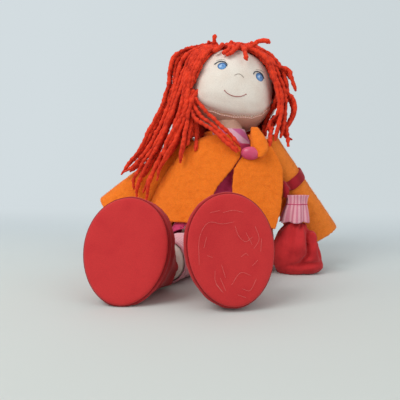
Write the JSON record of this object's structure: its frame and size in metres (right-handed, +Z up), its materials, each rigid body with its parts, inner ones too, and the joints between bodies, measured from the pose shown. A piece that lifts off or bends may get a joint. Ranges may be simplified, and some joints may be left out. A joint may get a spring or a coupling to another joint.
{
  "type": "rag doll",
  "caption": "Seated stuffed cloth doll with yarn hair, open fleece coat, padded shoes and a drawstring shoulder bag; head, arms, legs and bag move.",
  "frame": {"origin": "middle of the flat seat under the doll's body", "axes": "+Z up, the doll faces -Y, and +X is its own left"},
  "size_m": [0.2794, 0.2568, 0.2699],
  "materials": {
    "skin_jersey": "stuffed cotton jersey",
    "hair_yarn": "twisted chenille yarn",
    "coat_fleece": "cut fleece with raw edges",
    "striped_jersey": "pink and white striped jersey",
    "dress_cotton": "plain woven cotton",
    "shoe_velour": "short-pile padded velour",
    "bag_velour": "short-pile velour",
    "button_resin": "dyed resin, semi-gloss"
  },
  "bodies": {
    "torso": {"torso": "skin_jersey", "shirt": "striped_jersey", "dress_bodice": "dress_cotton", "skirt_back": "dress_cotton", "skirt_front_left": "dress_cotton", "skirt_front_right": "dress_cotton", "coat_back": "coat_fleece", "coat_front_left": "coat_fleece", "coat_front_right": "coat_fleece", "coat_collar": "coat_fleece", "coat_lapel": "coat_fleece", "button": "button_resin"},
    "neck": {"neck": "skin_jersey"},
    "head": {"head": "skin_jersey", "ear_left": "skin_jersey", "ear_right": "skin_jersey", "hair_cap": "hair_yarn", "hair_bundle_right": "hair_yarn", "hair_bundle_chest": "hair_yarn", "hair_bundle_cross": "hair_yarn", "hair_bundle_left": "hair_yarn", "hair_bundle_back": "hair_yarn", "hair_tuft_crown": "hair_yarn", "hair_tuft_fringe": "hair_yarn", "hair_curl_top": "hair_yarn", "hair_curl_side": "hair_yarn"},
    "arm_right": {"arm_right": "skin_jersey", "coat_sleeve_right": "coat_fleece"},
    "arm_left": {"arm_left": "skin_jersey", "coat_sleeve_left": "coat_fleece"},
    "leg_right": {"leg_right": "skin_jersey", "legging_right": "striped_jersey", "shoe_sole_right": "shoe_velour", "shoe_rand_right": "shoe_velour", "shoe_upper_right": "shoe_velour"},
    "leg_left": {"leg_left": "skin_jersey", "legging_left": "striped_jersey", "shoe_sole_left": "shoe_velour", "shoe_rand_left": "shoe_velour", "shoe_upper_left": "shoe_velour"},
    "bag": {"bag_pouch": "bag_velour", "bag_frill": "striped_jersey", "bag_drawstring": "bag_velour", "bag_strap": "bag_velour"}
  },
  "joints": [
    {"name": "neck_turn", "type": "hinge", "parent": "torso", "child": "neck", "pos_m": [0.0145, -0.002, 0.158], "axis": [0, 0, 1], "range_deg": [-40, 40], "deforming": ["hair_bundle_right", "hair_bundle_chest", "hair_bundle_cross", "hair_bundle_left", "hair_bundle_back"]},
    {"name": "head_nod", "type": "hinge", "parent": "neck", "child": "head", "pos_m": [0.0145, -0.004, 0.164], "axis": [-1, 0, 0], "range_deg": [-25, 5], "deforming": ["neck"]},
    {"name": "shoulder_right", "type": "hinge", "parent": "torso", "child": "arm_right", "pos_m": [-0.03079, -0.0035, 0.1385], "axis": [0, 1, 0], "range_deg": [-8, 55]},
    {"name": "shoulder_left", "type": "hinge", "parent": "torso", "child": "arm_left", "pos_m": [0.05621, -0.0035, 0.1385], "axis": [0, -1, 0], "range_deg": [-3, 55]},
    {"name": "hip_right", "type": "hinge", "parent": "torso", "child": "leg_right", "pos_m": [-0.023, -0.03, 0.0235], "axis": [-1, 0, 0], "range_deg": [-90, 35], "deforming": ["coat_front_right", "skirt_front_right"]},
    {"name": "hip_left", "type": "hinge", "parent": "torso", "child": "leg_left", "pos_m": [0.023, -0.03, 0.0235], "axis": [-1, 0, 0], "range_deg": [-90, 35], "deforming": ["coat_front_left", "skirt_front_left"]},
    {"name": "bag_swing", "type": "hinge", "parent": "arm_left", "child": "bag", "pos_m": [0.09749, 0.00223, 0.11529], "axis": [0, -1, 0], "range_deg": [-47, 2.6], "deforming": ["bag_strap"]}
  ],
  "couplings": [
    {"joint": "bag_swing", "follows": "shoulder_left", "ratio": -0.85}
  ]
}
